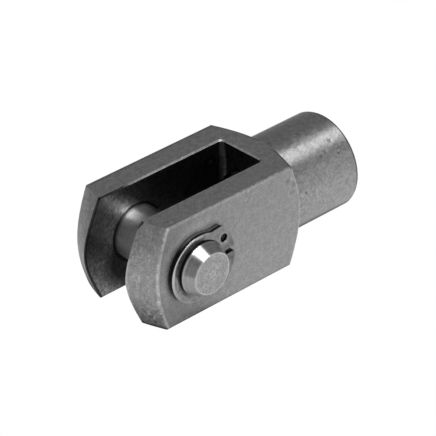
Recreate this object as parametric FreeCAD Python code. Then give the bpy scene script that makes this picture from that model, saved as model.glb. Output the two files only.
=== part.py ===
import FreeCAD, Part
import math
import os
from FreeCAD import Vector

# Rod clevis of the 10 x 20 size: a fork turned and milled from square steel bar, with an
# internally threaded neck, and a plain pin kept across its slot by two retaining rings.
# The origin is on the pin's axis, at the middle of the slot. +X runs towards the neck, the pin
# lies along Y and +Z is up. Lengths are in millimetres and angles in degrees.

# Square bar and its turned ends
bar_width = 20.0
bar_edge_break = 0.25
nose_reach = 12.0
nose_cone_angle = 30.0
shoulder_reach = 25.0
shoulder_cone_angle = 30.0

# Neck and its threaded bore, which stands at the thread's major diameter
neck_diameter = 18.0
neck_end_reach = 40.0
neck_end_chamfer_length = 0.3
neck_end_chamfer_depth = 0.15
neck_foot_radius = 0.4
thread_diameter = 10.0
thread_mouth_chamfer = 0.6

# Slot, milled by a disc cutter that leaves a shallow hollow across its root
slot_width = 10.0
slot_reach = 20.0
slot_cutter_radius = 63.0
slot_corner_radius = 0.8
slot_edge_break = 0.25

# Chip out of the near ear, measured along the three edges that meet at its upper inner corner
chip_along_slot = 0.75
chip_along_nose = 0.9
chip_down = 1.6

# Pin, with a groove near each end and a long lead chamfer
pin_diameter = 9.96
pin_running_clearance = 0.03
pin_hole_chamfer = 0.4
pin_land_length = 0.35
pin_lead_length = 2.2
pin_lead_depth = 1.1

# Retaining rings and their grooves
ring_side_clearance = 0.15
ring_thickness = 1.0
groove_width = 1.1
groove_depth = 0.18
ring_seat_clearance = 0.01
ring_back_width = 2.0
ring_taper_offset = 0.3
ring_opening_angle = 6.0
ring_gap = 1.0
lug_height = 2.95
lug_flank_offset = 5.75
lug_corner_radius = 0.5
lug_root_radius = 1.5
lug_hole_diameter = 1.6
lug_hole_angle = 30.0

# Sizes that follow from the ones above
bar_half = bar_width / 2
slot_half = slot_width / 2
neck_radius = neck_diameter / 2
thread_radius = thread_diameter / 2
pin_radius = pin_diameter / 2
pin_hole_radius = pin_radius + pin_running_clearance
groove_radius = pin_radius - groove_depth
ring_bore_radius = groove_radius + ring_seat_clearance
ring_inner_face = bar_half + ring_side_clearance
groove_start = ring_inner_face - (groove_width - ring_thickness) / 2
groove_end = groove_start + groove_width
lead_start = groove_end + pin_land_length
pin_end_reach = lead_start + pin_lead_length

nose_rise = math.tan(math.radians(nose_cone_angle))
shoulder_rise = math.tan(math.radians(shoulder_cone_angle))

AXIS_X = Vector(1, 0, 0)
AXIS_Y = Vector(0, 1, 0)
AXIS_Z = Vector(0, 0, 1)
ORIGIN = Vector(0, 0, 0)

# Lengths closer than this count as equal when edges are picked out
CLOSE = 1e-4


def revolved(outline, axis):
    """Solid of revolution from a closed outline of points."""
    face = Part.Face(Part.makePolygon(outline + outline[:1]))
    return face.revolve(ORIGIN, axis, 360)


def square_bar():
    """Length of square bar with its four long edges broken."""
    length = nose_reach + neck_end_reach
    corner = Vector(-nose_reach, -bar_half, -bar_half)
    bar = Part.makeBox(length, bar_width, bar_width, corner)
    long_edges = [e for e in bar.Edges if abs(e.Length - length) < CLOSE]
    return bar.makeChamfer(bar_edge_break, long_edges)


def turned_envelope():
    """What the lathe leaves of the bar: a coned nose, a coned shoulder and the neck."""
    clear = bar_width
    outline = [
        Vector(-nose_reach, 0, 0),
        Vector(-nose_reach, 0, slot_half),
        Vector(-nose_reach + (clear - slot_half) * nose_rise, 0, clear),
        Vector(shoulder_reach - (clear - neck_radius) * shoulder_rise, 0, clear),
        Vector(shoulder_reach, 0, neck_radius),
        Vector(neck_end_reach - neck_end_chamfer_length, 0, neck_radius),
        Vector(neck_end_reach, 0, neck_radius - neck_end_chamfer_depth),
        Vector(neck_end_reach, 0, 0),
    ]
    return revolved(outline, AXIS_X)


def neck_foot_edges(shape):
    """Circle where the neck meets the coned shoulder."""
    return [
        e for e in shape.Edges
        if isinstance(e.Curve, Part.Circle)
        and abs(e.Curve.Radius - neck_radius) < CLOSE
        and abs(e.Curve.Center.x - shoulder_reach) < CLOSE
    ]


def slot_cutter():
    """Disc cutter at the end of its feed, its rim corners worn round."""
    sagitta_side = math.sqrt(slot_cutter_radius**2 - bar_half**2)
    hub = Vector(slot_reach - sagitta_side, -slot_half, 0)
    disc = Part.makeCylinder(slot_cutter_radius, slot_width, hub, AXIS_Y)
    rims = [e for e in disc.Edges if isinstance(e.Curve, Part.Circle)]
    return disc.makeFillet(slot_corner_radius, rims)


def slot_rim_edges(shape):
    """Edges where the slot opens into the bar's top and bottom faces and into the nose."""
    def in_rim(edge):
        box = edge.BoundBox
        level = box.ZLength < CLOSE and abs(abs(box.Center.z) - bar_half) < CLOSE
        on_wall = box.YLength < CLOSE and abs(abs(box.Center.y) - slot_half) < CLOSE
        inside = max(abs(box.YMin), abs(box.YMax)) < slot_half + CLOSE
        return inside and (level or on_wall and box.XMax < 0)
    return [e for e in shape.Edges if in_rim(e)]


def nose_point(y, z):
    """Point on the nose's cone, at a place across the bar."""
    return Vector(-nose_reach + (math.hypot(y, z) - slot_half) * nose_rise, y, z)


def corner_chip():
    """Block whose inner face is the facet left by the chip."""
    corner = nose_point(-slot_half, bar_half)
    behind = corner + AXIS_X * chip_along_slot
    beside = nose_point(-slot_half - chip_along_nose, bar_half)
    below = nose_point(-slot_half, bar_half - chip_down)
    outward = (below - behind).cross(beside - behind)
    size = 2 * (chip_along_slot + chip_along_nose + chip_down)
    block = Part.makeBox(size, size, size, Vector(-size / 2, -size / 2, 0))
    block.Placement = FreeCAD.Placement(behind, FreeCAD.Rotation(AXIS_Z, outward))
    return block


def pin_holes():
    """Hole through both ears, with each ear's two rims chamfered."""
    start = Vector(0, -bar_width, 0)
    tool = Part.makeCylinder(pin_hole_radius, 2 * bar_width, start, AXIS_Y)
    wide = pin_hole_radius + pin_hole_chamfer
    for side in (-1, 1):
        out = AXIS_Y * side
        outer = Part.makeCone(pin_hole_radius, wide, pin_hole_chamfer,
                              out * (bar_half - pin_hole_chamfer), out)
        inner = Part.makeCone(wide, pin_hole_radius, pin_hole_chamfer,
                              out * slot_half, out)
        tool = tool.fuse([outer, inner])
    return tool


def threaded_bore():
    """Bore from the neck's end face through to the slot, with a chamfered mouth."""
    bore = Part.makeCylinder(thread_radius, neck_end_reach, ORIGIN, AXIS_X)
    mouth_start = Vector(neck_end_reach - thread_mouth_chamfer, 0, 0)
    mouth = Part.makeCone(thread_radius, thread_radius + thread_mouth_chamfer,
                          thread_mouth_chamfer, mouth_start, AXIS_X)
    return bore.fuse(mouth)


def clevis_fork():
    """The one-piece fork: ears, square body and neck."""
    blank = square_bar().common(turned_envelope())
    blank = blank.makeFillet(neck_foot_radius, neck_foot_edges(blank))
    fork = blank.cut(slot_cutter())
    fork = fork.makeChamfer(slot_edge_break, slot_rim_edges(fork))
    fork = fork.cut(corner_chip())
    fork = fork.cut(pin_holes())
    return fork.cut(threaded_bore())


def clevis_pin():
    """Plain pin with a ring groove, a short land and a long lead at each end."""
    half = [
        (pin_radius, groove_start),
        (groove_radius, groove_start),
        (groove_radius, groove_end),
        (pin_radius, groove_end),
        (pin_radius, lead_start),
        (pin_radius - pin_lead_depth, pin_end_reach),
        (0, pin_end_reach),
    ]
    upper = [Vector(r, y, 0) for r, y in half]
    lower = [Vector(r, -y, 0) for r, y in reversed(half)]
    return revolved(lower + upper, AXIS_Y)


def lug_strip():
    """Both lugs as one strip about the ring's opening, rounded at its far end."""
    radius = ring_bore_radius + lug_height
    disc = Part.makeCylinder(radius, ring_thickness)
    corner = Vector(0, -lug_flank_offset, 0)
    strip = Part.makeBox(radius, 2 * lug_flank_offset, ring_thickness, corner)
    return disc.common(strip)


def upright_edges(shape, low, high):
    """Edges along the ring's thickness whose distance from the axis is in a range."""
    chosen = []
    for edge in shape.Edges:
        box = edge.BoundBox
        upright = box.XLength < CLOSE and box.YLength < CLOSE
        if upright and low < math.hypot(box.Center.x, box.Center.y) < high:
            chosen.append(edge)
    return chosen


def flat_ring():
    """Retaining ring lying in the XY plane, its opening towards +X."""
    lug_radius = ring_bore_radius + lug_height
    rim_radius = ring_bore_radius + ring_back_width - ring_taper_offset
    band = Part.makeCylinder(rim_radius, ring_thickness, Vector(-ring_taper_offset, 0, 0))
    bore = Part.makeCylinder(ring_bore_radius, ring_thickness)
    gap = Part.makeBox(2 * lug_radius, ring_gap, ring_thickness, Vector(0, -ring_gap / 2, 0))
    ring = band.fuse(lug_strip()).removeSplitter().cut(bore).cut(gap)
    roots = upright_edges(ring, ring_bore_radius + CLOSE, lug_radius - CLOSE)
    ring = ring.makeFillet(lug_root_radius, roots)
    corners = upright_edges(ring, lug_radius - CLOSE, lug_radius + CLOSE)
    ring = ring.makeFillet(lug_corner_radius, corners)
    hole_distance = ring_bore_radius + lug_height / 2
    for side in (-1, 1):
        turn = math.radians(side * lug_hole_angle)
        place = Vector(hole_distance * math.cos(turn), hole_distance * math.sin(turn), 0)
        ring = ring.cut(Part.makeCylinder(lug_hole_diameter / 2, ring_thickness, place))
    return ring


def retaining_ring(side):
    """Ring seated in the pin's groove outside one ear; side is -1 or 1 along Y."""
    ring = flat_ring()
    ring.rotate(ORIGIN, AXIS_X, 90)
    ring.rotate(ORIGIN, AXIS_Y, -ring_opening_angle)
    if side < 0:
        ring.translate(Vector(0, -ring_inner_face, 0))
    else:
        ring.translate(Vector(0, ring_inner_face + ring_thickness, 0))
    return ring


os.makedirs("parts", exist_ok=True)
pieces = {
    "clevis_fork": clevis_fork(),
    "clevis_pin": clevis_pin(),
    "near_retaining_ring": retaining_ring(-1),
    "far_retaining_ring": retaining_ring(1),
}
for name, shape in pieces.items():
    shape.exportStep(f"parts/{name}.step")
    print(name, "solids", len(shape.Solids), "valid", shape.isValid(), "volume", round(shape.Volume, 2))
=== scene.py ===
import math

import bmesh
import bpy
from mathutils import Matrix, Vector


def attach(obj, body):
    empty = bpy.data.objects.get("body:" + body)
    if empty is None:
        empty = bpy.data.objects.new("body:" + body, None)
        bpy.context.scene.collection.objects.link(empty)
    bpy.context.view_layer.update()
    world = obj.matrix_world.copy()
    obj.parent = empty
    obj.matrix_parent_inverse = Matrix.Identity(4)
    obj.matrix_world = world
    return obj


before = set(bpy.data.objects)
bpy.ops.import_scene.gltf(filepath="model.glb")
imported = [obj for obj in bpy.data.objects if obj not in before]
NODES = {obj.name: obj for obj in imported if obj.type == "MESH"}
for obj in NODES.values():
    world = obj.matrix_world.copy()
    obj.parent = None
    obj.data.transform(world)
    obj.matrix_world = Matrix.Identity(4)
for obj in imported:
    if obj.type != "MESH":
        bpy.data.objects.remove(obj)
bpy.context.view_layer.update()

MM = 0.001

# Internal thread, M10 by 1.25, right-handed
THREAD_PITCH = 1.25 * MM
THREAD_MAJOR_RADIUS = 5.0 * MM
THREAD_MINOR_RADIUS = 4.323 * MM
THREAD_START = 21.6 * MM
THREAD_END = 38.8 * MM
THREAD_HALF_BASE = THREAD_PITCH * 7 / 16
THREAD_HALF_CREST = THREAD_PITCH / 8
THREAD_SUNK = 0.03 * MM
THREAD_LEAST_RISE = 0.04
THREAD_STEPS_PER_TURN = 48

# Cones of the fork's nose and shoulder: how far x moves for each step out from the axis, and
# where their tips are. The nose's is set back a little, so that a mask takes the cone in
CONE_SLOPE = 0.57735
NOSE_TIP = -14.85 * MM
SHOULDER_TIP = 30.196 * MM

# Where masks take the pieces' faces to begin and end, in millimetres. Each place is a little
# off the face itself, so that the whole face is on one side of it
NEAR_FACE = -9.9
TOP_FACE = 9.7
SLOT_WALL = 5.05
SLOT_ROOT = 20.9
SLOT_RIM = 9.74
NECK_FOOT = 25.2
NECK_END = 39.65
PIN_GROOVE = (9.9, 11.45)
PIN_LEAD = (11.85, 13.65)
PIN_END = 13.7
RING_WALLS = (10.18, 11.1)
RING_FRONT = 11.1

CHIP_NORMAL = (-0.666, 0.370, 0.649)
RING_TAPER_OFFSET = 0.3 * MM

# Noise scales: the steel's mottling, and its fine grain
COARSE = 900.0
FINE = 3000.0

# Relief of the grain, and how alike the rounded and the flat normal are where an edge starts
GRAIN_DEPTH = 0.02 * MM
EDGE_STARTS = 0.997
EDGE_SAMPLES = 8

FLOOR_LEVEL = -10.0 * MM
FLOOR_SIZE = 6.0
WHITE = (1, 1, 1, 1)

# Camera, fitted to the photo: angles in degrees, and the lens in millimetres
CAMERA_AZIMUTH = -43.854
CAMERA_ELEVATION = 31.836
CAMERA_ROLL = -0.075
CAMERA_AIM = Vector((8.992, -5.655, 3.465)) * MM
CAMERA_DISTANCE = 497.36 * MM
CAMERA_LENS = 242.2
CAMERA_SENSOR = 36.0


class Shader:
    """Adds nodes to a material's or world's tree and links them by socket name."""

    def __init__(self, owner):
        owner.use_nodes = True
        self.owner = owner
        self.tree = owner.node_tree
        self.tree.nodes.clear()

    def add(self, kind, inputs=None, **settings):
        node = self.tree.nodes.new(kind)
        for key, value in settings.items():
            setattr(node, key, value)
        for key, value in (inputs or {}).items():
            self.set(node, key, value)
        return node

    def set(self, node, key, value):
        if isinstance(value, bpy.types.NodeSocket):
            self.tree.links.new(value, node.inputs[key])
        else:
            node.inputs[key].default_value = value

    def math(self, operation, first, second=0.0):
        return self.add("ShaderNodeMath", {0: first, 1: second}, operation=operation).outputs[0]

    def plus(self, first, second):
        return self.math("ADD", first, second)

    def minus(self, first, second):
        return self.math("SUBTRACT", first, second)

    def times(self, product, *factors):
        for factor in factors:
            product = self.math("MULTIPLY", product, factor)
        return product

    def absolute(self, value):
        return self.math("ABSOLUTE", value)

    def above(self, value, bound):
        """Mask that is 1 past a bound in millimetres."""
        return self.math("GREATER_THAN", value, bound * MM)

    def below(self, value, bound):
        """Mask that is 1 short of a bound in millimetres."""
        return self.math("LESS_THAN", value, bound * MM)

    def between(self, value, low, high):
        return self.times(self.above(value, low), self.below(value, high))

    def ranged(self, value, low, high, to_low=0.0, to_high=1.0):
        """Value carried from one range to another, and kept within the second."""
        inputs = {"Value": value, "From Min": low, "From Max": high,
                  "To Min": to_low, "To Max": to_high}
        return self.add("ShaderNodeMapRange", inputs).outputs["Result"]

    def ramp(self, value, low, high, to_low=0.0, to_high=1.0):
        """As ranged, for a length between two places in millimetres."""
        return self.ranged(value, low * MM, high * MM, to_low, to_high)

    def mix(self, factor, first, second):
        """Blend of two plain values."""
        inputs = {"Factor": factor, "A": first, "B": second}
        return self.add("ShaderNodeMix", inputs, data_type="FLOAT").outputs["Result"]

    def shaded(self, tone, mask, factor):
        """Tone that is multiplied by a factor where the mask is 1."""
        return self.times(tone, self.ranged(mask, 0.0, 1.0, 1.0, factor))

    def noise(self, vector, scale, detail=3.0, distortion=0.0):
        inputs = {"Vector": vector, "Scale": scale, "Detail": detail,
                  "Roughness": 0.6, "Distortion": distortion}
        return self.add("ShaderNodeTexNoise", inputs).outputs["Fac"]

    def parts(self, vector):
        node = self.add("ShaderNodeSeparateXYZ", {0: vector})
        return node.outputs["X"], node.outputs["Y"], node.outputs["Z"]

    def joined(self, x, y, z):
        return self.add("ShaderNodeCombineXYZ", {"X": x, "Y": y, "Z": z}).outputs[0]

    def scaled(self, vector, x, y, z):
        inputs = {"Vector": vector, "Scale": (x, y, z)}
        return self.add("ShaderNodeMapping", inputs).outputs["Vector"]

    def vector(self, operation, inputs, result="Vector"):
        return self.add("ShaderNodeVectorMath", inputs, operation=operation).outputs[result]

    def length(self, first, second):
        """Distance from an axis, from the two coordinates square to it."""
        squares = self.plus(self.times(first, first), self.times(second, second))
        return self.math("SQRT", squares)

    def distance(self, vector, point):
        return self.vector("DISTANCE", {0: vector, 1: point}, "Value")

    def likeness(self, first, second):
        """1 where two directions are the same, and less where they part."""
        return self.vector("DOT_PRODUCT", {0: first, 1: second}, "Value")

    def flat_normal(self):
        return self.add("ShaderNodeNewGeometry").outputs["Normal"]

    def rounded_normal(self, radius):
        bevel = self.add("ShaderNodeBevel", {"Radius": radius}, samples=EDGE_SAMPLES)
        return bevel.outputs["Normal"]

    def ragged(self, vector, scale, reach):
        """The place, pushed about by noise, for marks with uneven outlines."""
        inputs = {"Vector": vector, "Scale": scale, "Detail": 2.0}
        colour = self.add("ShaderNodeTexNoise", inputs).outputs["Color"]
        push = self.vector("SUBTRACT", {0: colour, 1: (0.5, 0.5, 0.5)})
        push = self.vector("SCALE", {0: push, "Scale": 2 * reach})
        return self.vector("ADD", {0: vector, 1: push})

    def grey(self, value):
        inputs = {"Red": value, "Green": value, "Blue": value}
        return self.add("ShaderNodeCombineColor", inputs).outputs[0]

    def white_to_camera(self, other, white):
        """The other shader, with the white one in its place where the camera sees it."""
        seen = self.add("ShaderNodeLightPath").outputs["Is Camera Ray"]
        return self.add("ShaderNodeMixShader", {0: seen, 1: other, 2: white}).outputs[0]


class SteelShader(Shader):
    """Shader of a new material, with the place on its piece at hand."""

    def __init__(self, name):
        super().__init__(bpy.data.materials.new(name))
        self.place = self.add("ShaderNodeTexCoord").outputs["Object"]
        self.x, self.y, self.z = self.parts(self.place)


def edge_wear(s, radius, full=0.9):
    """Mask that is 1 along edges, where a rounded normal leaves the flat one."""
    return s.ranged(s.likeness(s.rounded_normal(radius), s.flat_normal()), EDGE_STARTS, full)


def metal(s, tone, roughness, height, bump=0.3, turned=0.0, axis=(1, 0, 0), base=None):
    """Finished material of grey metal; where turned, its highlights stretch along the axis."""
    normal = s.add("ShaderNodeBump", {"Height": height, "Strength": bump, "Distance": GRAIN_DEPTH})
    if base:
        s.set(normal, "Normal", base)
    along = s.add("ShaderNodeVectorTransform", {"Vector": axis},
                  vector_type="VECTOR", convert_from="OBJECT", convert_to="WORLD")
    surface = s.add("ShaderNodeBsdfPrincipled", {
        "Base Color": s.grey(tone), "Metallic": 1.0, "Roughness": roughness,
        "Anisotropic": turned, "Tangent": along.outputs[0],
        "Normal": normal.outputs["Normal"]})
    s.add("ShaderNodeOutputMaterial", {"Surface": surface.outputs[0]})
    return s.owner


# Marks on the fork that the photo shows: place in mm, size in mm, and how they change the tone.
# The light spot deep in the slot is listed twice, because little light reaches it
FORK_MARKS = [
    # Top face and its near edge
    ((13.5, -9.8, 9.9), 0.30, 0.45),
    ((-4.8, -8.90, 10.0), 0.55, 1.60),
    ((-5.6, -8.70, 10.0), 0.45, 1.30),
    # Near face's upper edge, and its dents by the shoulder
    ((11.9, -10.0, 9.5), 0.50, 1.40),
    ((11.4, -10.0, 8.0), 0.55, 1.30),
    ((21.3, -10.0, 7.3), 0.80, 0.75),
    ((22.2, -10.0, 7.5), 0.60, 1.40),
    ((22.8, -10.0, 6.1), 0.80, 0.75),
    ((22.5, -10.0, 4.8), 0.70, 0.78),
    # Neck
    ((25.0, -9.20, 4.9), 0.45, 1.35),
    ((36.25, -5.15, 7.37), 0.60, 0.45),
    ((37.0, -6.30, 6.40), 0.30, 1.50),
    ((37.1, -6.85, 5.80), 0.32, 1.50),
    ((36.68, -7.07, 5.56), 0.35, 0.55),
    ((34.1, -6.20, 6.50), 0.50, 0.65),
    ((32.9, -6.60, 6.10), 0.50, 0.75),
    ((27.2, -8.75, 2.10), 0.42, 0.45),
    # Near ear's nose, low down
    ((-8.9, -8.75, -5.30), 0.50, 1.35),
    ((-8.9, -8.95, -4.10), 0.45, 1.25),
    ((-9.0, -7.70, -6.60), 0.60, 1.40),
    ((-8.3, -9.60, -6.30), 0.60, 1.30),
    ((-8.4, -9.60, -5.50), 0.50, 0.70),
    ((-8.7, -7.80, -7.40), 0.70, 0.55),
    ((-8.1, -8.10, -8.50), 0.60, 0.60),
    # Rims and walls of the slot
    ((-5.9, 5.0, 9.4), 0.30, 2.00),
    ((-2.0, 5.0, 9.4), 0.30, 2.40),
    ((-8.6, -5.3, 7.6), 0.35, 1.35),
    ((-9.3, -5.2, 6.2), 0.30, 1.40),
    ((17.3, 5.0, 6.4), 0.80, 2.40),
    ((17.3, 5.0, 6.4), 0.80, 2.40),
]


def marked(s, tone, marks):
    """Tone with small ragged marks: a core, and a faint rim of the opposite kind."""
    warped = s.ragged(s.place, scale=2500.0, reach=0.25 * MM)
    for centre, size, change in marks:
        away = s.distance(warped, tuple(c * MM for c in centre))
        core = s.ramp(away, size, 0.4 * size, 1.0, change)
        rim = s.ramp(away, 2.0 * size, 1.2 * size, 1.0, 1.0 + 0.25 * (1.0 - change))
        tone = s.times(tone, s.times(core, rim))
    return tone


def flat_faces(s, tone, side):
    """The top is darker than the sides, in blotches; painted shade darkens the near side upwards,
    towards the nose and low down.
    """
    spots = s.ranged(s.noise(s.place, 1900.0), 0.35, 0.6, 0.76, 0.88)
    tone = s.times(tone, s.ramp(s.z, 9.8, 9.95, 1.0, spots))
    # Painted shade on the near side: darker upwards, towards the nose, at the low front corner and
    # along the low edge
    upwards = s.ramp(s.z, -6, 7, 1.05, 0.92)
    to_nose = s.ramp(s.x, -8, 6, 0.85, 1.0)
    low_corner = s.ramp(s.plus(s.x, s.z), -14, -7, 0.8, 1.0)
    low_edge = s.ramp(s.z, -9.4, -9.75, 1.0, 0.6)
    painted_side_shade = s.times(upwards, to_nose, low_corner, low_edge)
    return s.mix(side, tone, s.times(tone, painted_side_shade))


def painted_light_round_ring(s, tone, side, from_pin):
    """Painted light brightens the near face round the pin, most of all above it, against the ring's
    shade there.
    """
    # Painted light round the pin on the near face, most of all above it
    painted_ring_light = s.times(side, s.ramp(from_pin, 9.2, 7.4), s.ramp(s.minus(s.z, s.x), 1, 6))
    return s.shaded(tone, painted_ring_light, 1.5)


def coned_nose(s, near):
    """Factor for the nose: blotched, most of all low down, with filed streaks, with painted shade
    towards its top and bottom and painted light on the far ear's outer part.
    """
    long_blotches = s.noise(s.scaled(s.place, 1.0, 0.4, 1.0), 1400.0, detail=4.0)
    round_blotches = s.noise(s.place, 1500.0, detail=4.0, distortion=0.6)
    blotches = s.mix(near, long_blotches, round_blotches)
    low = s.times(near, s.ramp(s.z, -4.5, -7))
    darkest = s.mix(low, s.mix(near, 0.78, 0.84), 0.48)
    lightest = s.mix(low, s.mix(near, 1.18, 1.08), 1.25)
    blotched = s.ranged(blotches, 0.35, 0.65, darkest, lightest)
    streaks = s.noise(s.scaled(s.place, 1.0, 1.0, 0.3), 1500.0, detail=2.0)
    streaked = s.ranged(streaks, 0.58, 0.66, 0.96, 1.25)
    # Painted shade darkens the nose towards its top and bottom, most of all at its foot; painted
    # light lifts the far ear's outer part
    upper = s.ramp(s.z, 2, 9, 1.0, s.mix(near, 0.95, 0.78))
    lower = s.ramp(s.z, -1, -8, 1.0, s.mix(near, 0.62, 0.68))
    lowest = s.ramp(s.z, -9.45, -9.6, 1.0, 0.3)
    far_outer = s.times(s.ramp(s.y, 6.5, 9), s.ramp(s.z, 2, 6))
    painted_nose_shading = s.shaded(s.times(upper, lower, s.mix(near, 0.97, 1.03), lowest), far_outer, 1.25)
    return s.times(blotched, streaked, painted_nose_shading)


def worn_and_highlit_front_edges(s, tone, mottle, nose, near, behind_nose):
    """The near ear's front edges are lightened: the outer one worn and with a painted highlight,
    and the inner one low down with a painted highlight.
    """
    # Outer front edge: wear and a painted highlight
    off_line = s.absolute(s.minus(behind_nose, 0.16 * MM))
    outer = s.times(s.ramp(s.y, -9.7, -9.85), s.ramp(off_line, 0.34, 0.14))
    tone = s.shaded(tone, s.times(outer, s.ranged(mottle, 0.3, 0.6, 0.7, 1.0)), 1.75)
    # Inner front edge low down: a painted highlight along the rounded edge
    inner = s.times(nose, s.ramp(s.absolute(s.y), 5.6, 5.4), near, s.ramp(s.z, 4, 2))
    return s.shaded(tone, inner, 1.25)


def turned_neck(s, tone, neck, from_axis):
    """Blotches along the light band, painted shade in the crease at the foot and in a line low
    down, and a dark end rim.
    """
    around = s.noise(s.scaled(s.place, 0.7, 1.0, 1.0), 1800.0, detail=4.0)
    tone = s.mix(neck, tone, s.times(tone, s.ranged(around, 0.35, 0.65, 0.86, 1.14)))
    # Painted shade in the crease at the neck's foot
    foot = s.times(s.ramp(s.x, 24.7, 25.0), s.ramp(s.x, 25.5, NECK_FOOT))
    tone = s.shaded(tone, foot, 0.45)
    # Painted shade: a dark line low down along the neck
    low_down = s.times(s.plus(s.y, s.z), -math.sqrt(0.5))
    painted_low_shade = s.times(s.ramp(low_down, 8.72, 8.9), s.times(neck, s.below(s.x, NECK_END)))
    tone = s.shaded(tone, painted_low_shade, 0.4)
    end_rim = s.times(s.ramp(s.x, 39.5, NECK_END), s.ramp(from_axis, 8.75, 8.83))
    return s.shaded(tone, end_rim, 0.3)


def shoulder_edges(s, tone, side, from_axis):
    """Painted shade along two stretches of the top's end and along its far edge, and a painted
    highlight on the side's end by the shoulder.
    """
    shoulder = s.minus(SHOULDER_TIP, s.times(from_axis, CONE_SLOPE))
    before_shoulder = s.minus(shoulder, s.x)
    stretches = s.math("MAXIMUM", s.ramp(s.y, -3, -4.5), s.ramp(s.y, -0.5, 0.8, 0.0, 0.6))
    # Painted shade along two stretches of the top's end
    top_end = s.times(s.ramp(before_shoulder, 0.35, 0.2), s.ramp(s.z, 9.55, TOP_FACE), stretches)
    tone = s.shaded(tone, top_end, 0.35)
    # Painted highlight on the side's end by the shoulder
    tone = s.shaded(tone, s.times(side, s.ramp(before_shoulder, 0.5, 0.25)), 1.15)
    # Painted shade along the top's far edge
    far_edge = s.times(s.above(s.z, TOP_FACE), s.ramp(s.y, 9.15, 9.35))
    return s.shaded(tone, far_edge, 0.7)


def far_ear_rims(s, tone, behind_nose):
    """The far ear's inner edge is a dark line down its front and along the top's first part."""
    on_rim = s.below(s.absolute(s.minus(s.y, 5.09 * MM)), 0.17)
    front = s.times(on_rim, s.ramp(behind_nose, 0.55, 0.4))
    top = s.times(on_rim, s.above(s.z, TOP_FACE), s.ramp(s.x, 0, -3))
    return s.shaded(s.shaded(tone, front, 0.12), top, 0.12)


def inside_slot(s):
    """Mask of the slot's walls and root."""
    between_ears = s.below(s.absolute(s.y), SLOT_WALL)
    return s.times(between_ears, s.below(s.x, SLOT_ROOT), s.below(s.absolute(s.z), SLOT_RIM))


def slot_shade(s):
    """Factor for the slot: painted shade, darker towards the root and low beside the pin, and
    uneven.
    """
    # Painted shade, darker towards the root and low beside the pin
    deeper = s.ramp(s.x, -2, 4, 0.95, 0.4)
    beside_pin = s.distance(s.joined(s.x, 0.0, s.z), (-2.5 * MM, 0.0, -4.5 * MM))
    lower = s.ramp(beside_pin, 3.2, 5.6, 0.22, 1.0)
    streaks = s.noise(s.scaled(s.place, 1.0, 1.0, 0.3), FINE)
    blotches = s.noise(s.place, 1600.0, detail=4.0, distortion=0.5)
    uneven = s.times(s.ranged(streaks, 0.3, 0.7, 0.7, 1.3),
                     s.ranged(blotches, 0.38, 0.62, 0.65, 1.25))
    return s.times(deeper, lower, uneven)


def holes(s, tone, from_axis, from_pin):
    """Painted shade in the bore, most of all by the slot, and on the walls of the pin's holes."""
    # Painted shade in the bore and on the pin holes' walls
    bore = s.times(s.below(from_axis, 5.3), s.above(s.x, 18.5), s.below(s.x, 39.3))
    tone = s.shaded(tone, bore, s.ramp(s.x, 22, 28, 0.05, 0.25))
    return s.times(tone, s.ramp(from_pin, 5.62, 5.52, 1.0, 0.15))


def fork_steel():
    """Milled and turned bar, dull, with fine mottling, bright broken edges that are worn and carry
    a painted highlight, and painted light and shade on its faces.
    """
    s = SteelShader("fork_steel")
    from_axis = s.length(s.y, s.z)
    from_pin = s.length(s.x, s.z)
    nose_cone = s.plus(s.times(from_axis, CONE_SLOPE), NOSE_TIP)
    behind_nose = s.minus(s.x, nose_cone)
    nose = s.math("LESS_THAN", s.x, nose_cone)
    near = s.below(s.y, 0)
    side = s.below(s.y, NEAR_FACE)
    neck = s.above(s.x, NECK_FOOT)
    inside = inside_slot(s)

    mottle = s.noise(s.place, COARSE)
    grain = s.noise(s.place, FINE)
    tone = s.times(s.ranged(mottle, 0.3, 0.7, 0.19, 0.25), s.ranged(grain, 0.3, 0.7, 0.8, 1.2))
    # Bright broken edges: wear, and a painted highlight where the edges catch the light
    wear_and_highlight = s.times(edge_wear(s, 0.4 * MM), s.ranged(mottle, 0.35, 0.6, 0.2, 0.8))
    far_nose = s.times(s.above(s.y, 4.5), s.below(s.x, -6))
    tone = s.mix(s.shaded(wear_and_highlight, far_nose, 0.3), tone, 0.42)

    tone = flat_faces(s, tone, side)
    tone = painted_light_round_ring(s, tone, side, from_pin)
    tone = s.mix(nose, tone, s.times(tone, coned_nose(s, near)))
    tone = worn_and_highlit_front_edges(s, tone, mottle, nose, near, behind_nose)
    tone = turned_neck(s, tone, neck, from_axis)
    tone = shoulder_edges(s, tone, side, from_axis)
    tone = far_ear_rims(s, tone, behind_nose)
    # Painted shade on the chip's facet
    chipped = s.math("GREATER_THAN", s.likeness(s.flat_normal(), CHIP_NORMAL), 0.99)
    tone = s.shaded(tone, chipped, 0.2)
    tone = s.mix(inside, tone, s.times(tone, slot_shade(s)))
    tone = holes(s, tone, from_axis, from_pin)
    tone = marked(s, tone, FORK_MARKS)

    # The near side is rougher, and the slot smoother but for the corner of its far wall and root
    rough = s.mix(side, s.ranged(mottle, 0.3, 0.7, 0.42, 0.5), 0.6)
    corner = s.times(s.ramp(s.y, 4.2, 4.4), s.ramp(s.x, 19.4, 19.7))
    rough = s.mix(inside, rough, s.mix(corner, 0.3, 0.55))
    return metal(s, tone, rough, grain, turned=s.times(neck, 0.85))


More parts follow.
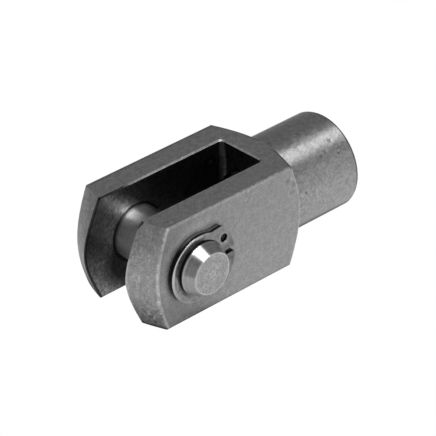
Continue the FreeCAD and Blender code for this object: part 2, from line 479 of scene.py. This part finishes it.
def pin_end_tone(s, grain, from_centre):
    """Scribed rings, clearest near the centre, under clouds and a light vein."""
    swirled_x, _, swirled_z = s.parts(s.ragged(s.place, scale=1100.0, reach=0.45 * MM))
    rings = s.noise(s.joined(s.length(swirled_x, swirled_z), 0.0, 0.0), 2600.0, detail=2.0)
    plainer = s.ramp(from_centre, 1.2, 2.6, 0.0, 0.7)
    scribed = s.mix(plainer, s.ranged(rings, 0.35, 0.65, 0.15, 0.26), 0.2)
    clouds = s.noise(s.place, 1300.0, distortion=1.2)
    vein = s.times(s.ranged(s.absolute(s.minus(clouds, 0.5)), 0.035, 0.0),
                   s.ramp(from_centre, 2.6, 1.4))
    clouded = s.shaded(s.ranged(clouds, 0.3, 0.7, 0.78, 1.22), vein, 1.35)
    return s.times(scribed, clouded, s.ranged(grain, 0.3, 0.7, 0.8, 1.2))


def pin_steel():
    """Ground pin with a smooth turned lead, a light rim that is worn and carries a painted
    highlight, and rings round its end's centre.
    """
    s = SteelShader("pin_steel")
    across = s.absolute(s.y)
    from_centre = s.length(s.x, s.z)
    mottle = s.noise(s.place, COARSE)
    grain = s.noise(s.place, FINE)
    marks = s.noise(s.joined(from_centre, s.y, 0.0), 4500.0, detail=2.0)
    tone = s.times(s.ranged(marks, 0.3, 0.7, 0.18, 0.24), s.ranged(grain, 0.3, 0.7, 0.85, 1.15))
    tone = s.mix(s.above(across, PIN_END), tone, pin_end_tone(s, grain, from_centre))

    # Painted shade darkens the lead in a sector below its highlight
    sector = s.times(s.ramp(s.plus(s.z, s.times(s.x, 0.2)), -0.15, 0.05),
                     s.ramp(s.plus(s.z, s.times(s.x, 1.15)), 0.6, -0.2))
    tone = s.shaded(tone, s.times(s.between(across, *PIN_LEAD), sector), 0.66)

    # Painted shade in the rings' grooves, and painted light on the middle: on top by the far ear,
    # and below
    tone = s.shaded(tone, s.between(across, *PIN_GROOVE), 0.25)
    tone = s.shaded(tone, s.times(s.ramp(s.y, 1.5, 5), s.ramp(s.z, 3, 3.8)), 2.9)
    tone = s.shaded(tone, s.times(s.ramp(s.z, -0.5, -2.5), s.below(across, 5.5)), 2.1)

    # Light rims at the lead's two ends: wear and painted highlights
    wear_and_highlight = s.times(edge_wear(s, 0.6 * MM, full=0.98), s.ranged(mottle, 0.3, 0.6, 0.6, 1.0))
    tone = s.mix(s.times(wear_and_highlight, s.above(across, 12.5)), tone, 0.34)
    tone = s.shaded(tone, s.times(s.above(across, 11.5), s.ramp(across, 11.85, 11.7)), 1.35)
    return metal(s, tone, 0.3, marks, turned=0.8, axis=(0, 1, 0))


def ring_steel():
    """Stamped spring steel with nearly black cut edges, worn bright with a painted highlight along
    the closed side, and painted light and shade.
    """
    s = SteelShader("ring_steel")
    across = s.absolute(s.y)
    from_centre = s.length(s.x, s.z)
    front = s.above(across, RING_FRONT)
    mottle = s.noise(s.place, 1400.0)
    tone = s.ranged(mottle, 0.38, 0.62, 0.10, 0.165)

    # Painted light makes the cut edges lighter at the foot, beside the ear, most of all above the
    # pin
    foot = s.ramp(s.plus(s.z, s.times(s.x, 0.5)), 2.5, 6, 0.02, 0.35)
    cut = s.mix(s.ramp(across, 10.45, 10.65), foot, 0.015)
    tone = s.mix(s.between(across, *RING_WALLS), tone, cut)

    # Painted shade darkens the front by the bore on the closed side, the bore's rim and the lower
    # lug
    from_bore = s.minus(from_centre, s.ramp(s.z, 0, 3.5, 0.0, 0.4 * MM))
    closed_side = s.ramp(s.minus(s.times(s.z, 0.3), s.x), 0, 2.5)
    tone = s.shaded(tone, s.times(s.ramp(from_bore, 5.65, 5.4), closed_side, front), 0.5)
    tone = s.times(tone, s.ramp(from_centre, 5.0, 5.15, 0.5, 1.0))
    lower_lug = s.times(s.above(s.x, 4.2), s.ramp(s.absolute(s.z), 2.8, 1.2))
    tone = s.shaded(tone, lower_lug, 0.7)

    # The front's outer edge is worn bright, with a painted highlight, most of all up the closed
    # side
    worn_and_highlit = s.times(s.ramp(s.minus(s.z, s.x), 1.5, 8.5, 0.2, 1.0),
                     s.ramp(s.x, 1, -2.5, 0.35, 1.0))
    from_outline = s.length(s.plus(s.x, RING_TAPER_OFFSET), s.z)
    rim = s.times(s.ramp(from_outline, 5.9, 6.1), s.below(s.x, 0.5))
    wear_and_highlight = s.times(s.math("MAXIMUM", edge_wear(s, 0.55 * MM), rim), front, worn_and_highlit)
    tone = s.mix(wear_and_highlight, tone, 0.36)
    return metal(s, tone, 0.15, mottle, bump=0.1, base=s.rounded_normal(0.4 * MM))


def thread():
    """Helical ridge that stands inward from the bore's wall and runs out at both ends."""
    wall = THREAD_MAJOR_RADIUS + THREAD_SUNK
    section = [(-THREAD_HALF_BASE, wall), (THREAD_HALF_BASE, wall),
               (THREAD_HALF_CREST, THREAD_MINOR_RADIUS), (-THREAD_HALF_CREST, THREAD_MINOR_RADIUS)]
    mesh = bmesh.new()
    corners = [mesh.verts.new((THREAD_START + along, radius, 0.0)) for along, radius in section]
    ridge = mesh.faces.new(corners)
    steps = round((THREAD_END - THREAD_START) / THREAD_PITCH * THREAD_STEPS_PER_TURN)
    bmesh.ops.spin(mesh, geom=[ridge, *ridge.edges, *ridge.verts], cent=(0, 0, 0), axis=(1, 0, 0),
                   dvec=(THREAD_PITCH / THREAD_STEPS_PER_TURN, 0, 0),
                   angle=2 * math.pi * steps / THREAD_STEPS_PER_TURN, steps=steps)
    # The ridge rises out of the wall over the first and last half turn
    for vert in mesh.verts:
        from_end = min(vert.co.x - THREAD_START, THREAD_END - vert.co.x) + THREAD_HALF_CREST
        rise = min(1.0, max(THREAD_LEAST_RISE, from_end / (THREAD_PITCH / 2)))
        radius = math.hypot(vert.co.y, vert.co.z)
        reach = wall - (wall - radius) * rise
        vert.co.y *= reach / radius
        vert.co.z *= reach / radius
    bmesh.ops.recalc_face_normals(mesh, faces=mesh.faces)
    data = bpy.data.meshes.new("bore_thread")
    mesh.to_mesh(data)
    mesh.free()
    made = bpy.data.objects.new("bore_thread", data)
    bpy.context.scene.collection.objects.link(made)
    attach(made, "fork")
    return made


def coat(piece, material):
    piece.data.materials.clear()
    piece.data.materials.append(material)


def floor():
    """Plain pale floor, darker to the back as painted shade and glowing weakly to the right as
    painted light; the camera sees it white.
    """
    bpy.ops.mesh.primitive_plane_add(size=FLOOR_SIZE, location=(0, 0, FLOOR_LEVEL))
    plane = bpy.context.active_object
    plane.name = "floor"
    s = Shader(bpy.data.materials.new("pale_floor"))
    x, y, _ = s.parts(s.add("ShaderNodeTexCoord").outputs["Object"])
    # Painted shade darkens the floor to the back, and a painted glow to the right lights the object
    # from below
    card = s.add("ShaderNodeBsdfDiffuse", {"Color": s.grey(s.ramp(y, -10, 40, 0.88, 0.5))})
    painted_glow = s.add("ShaderNodeEmission", {"Strength": s.ramp(x, -30, 40, 0.0, 0.25)})
    pale = s.add("ShaderNodeAddShader", {0: card.outputs[0], 1: painted_glow.outputs[0]})
    white = s.add("ShaderNodeEmission", {"Color": WHITE, "Strength": 1.0})
    surface = s.white_to_camera(pale.outputs[0], white.outputs[0])
    s.add("ShaderNodeOutputMaterial", {"Surface": surface})
    coat(plane, s.owner)


def surroundings():
    """Grey studio walls for the steel to reflect, lighter to the left and low in front."""
    world = bpy.data.worlds.new("studio")
    bpy.context.scene.world = world
    s = Shader(world)
    x, y, z = s.parts(s.add("ShaderNodeTexCoord").outputs["Generated"])
    walls = s.ranged(x, -0.1, -0.6, 0.42, 0.76)
    low_in_front = s.times(s.ranged(z, 0.65, 0.35), s.ranged(y, 0.0, -0.4))
    walls = s.mix(low_in_front, walls, 1.35)
    grey = s.add("ShaderNodeBackground", {"Color": s.grey(walls), "Strength": 1.0})
    white = s.add("ShaderNodeBackground", {"Color": WHITE, "Strength": 1.0})
    surface = s.white_to_camera(grey.outputs[0], white.outputs[0])
    s.add("ShaderNodeOutputWorld", {"Surface": surface})


def soft_box(name, place, width, depth, power):
    """Rectangular light that faces the object."""
    data = bpy.data.lights.new(name, "AREA")
    data.shape = "RECTANGLE"
    data.size = width
    data.size_y = depth
    data.energy = power
    lamp = bpy.data.objects.new(name, data)
    lamp.location = place
    lamp.rotation_mode = "QUATERNION"
    lamp.rotation_quaternion = (-Vector(place)).to_track_quat("-Z", "Y")
    bpy.context.scene.collection.objects.link(lamp)


def camera():
    """Long lens from the front left and above, as in the photo."""
    azimuth, elevation = math.radians(CAMERA_AZIMUTH), math.radians(CAMERA_ELEVATION)
    back = Vector((math.sin(azimuth) * math.cos(elevation),
                   -math.cos(azimuth) * math.cos(elevation),
                   math.sin(elevation)))
    roll = Matrix.Rotation(math.radians(CAMERA_ROLL), 3, "Z").to_quaternion()
    data = bpy.data.cameras.new("camera")
    data.sensor_width = CAMERA_SENSOR
    data.lens = CAMERA_LENS
    data.clip_start = 0.01
    data.clip_end = 20.0
    seen = bpy.data.objects.new("camera", data)
    seen.location = CAMERA_AIM + back * CAMERA_DISTANCE
    seen.rotation_mode = "QUATERNION"
    seen.rotation_quaternion = (-back).to_track_quat("-Z", "Y") @ roll
    bpy.context.scene.collection.objects.link(seen)
    bpy.context.scene.camera = seen


bpy.context.scene.view_settings.view_transform = "Standard"

fork_coat = fork_steel()
coat(NODES["clevis_fork"], fork_coat)
coat(thread(), fork_coat)
coat(NODES["clevis_pin"], pin_steel())
ring_coat = ring_steel()
for ring_name in ("near_retaining_ring", "far_retaining_ring"):
    coat(NODES[ring_name], ring_coat)

floor()
surroundings()
soft_box("overhead_strip", place=(-0.003, -0.12, 0.40), width=0.29, depth=0.20, power=1.95)
camera()
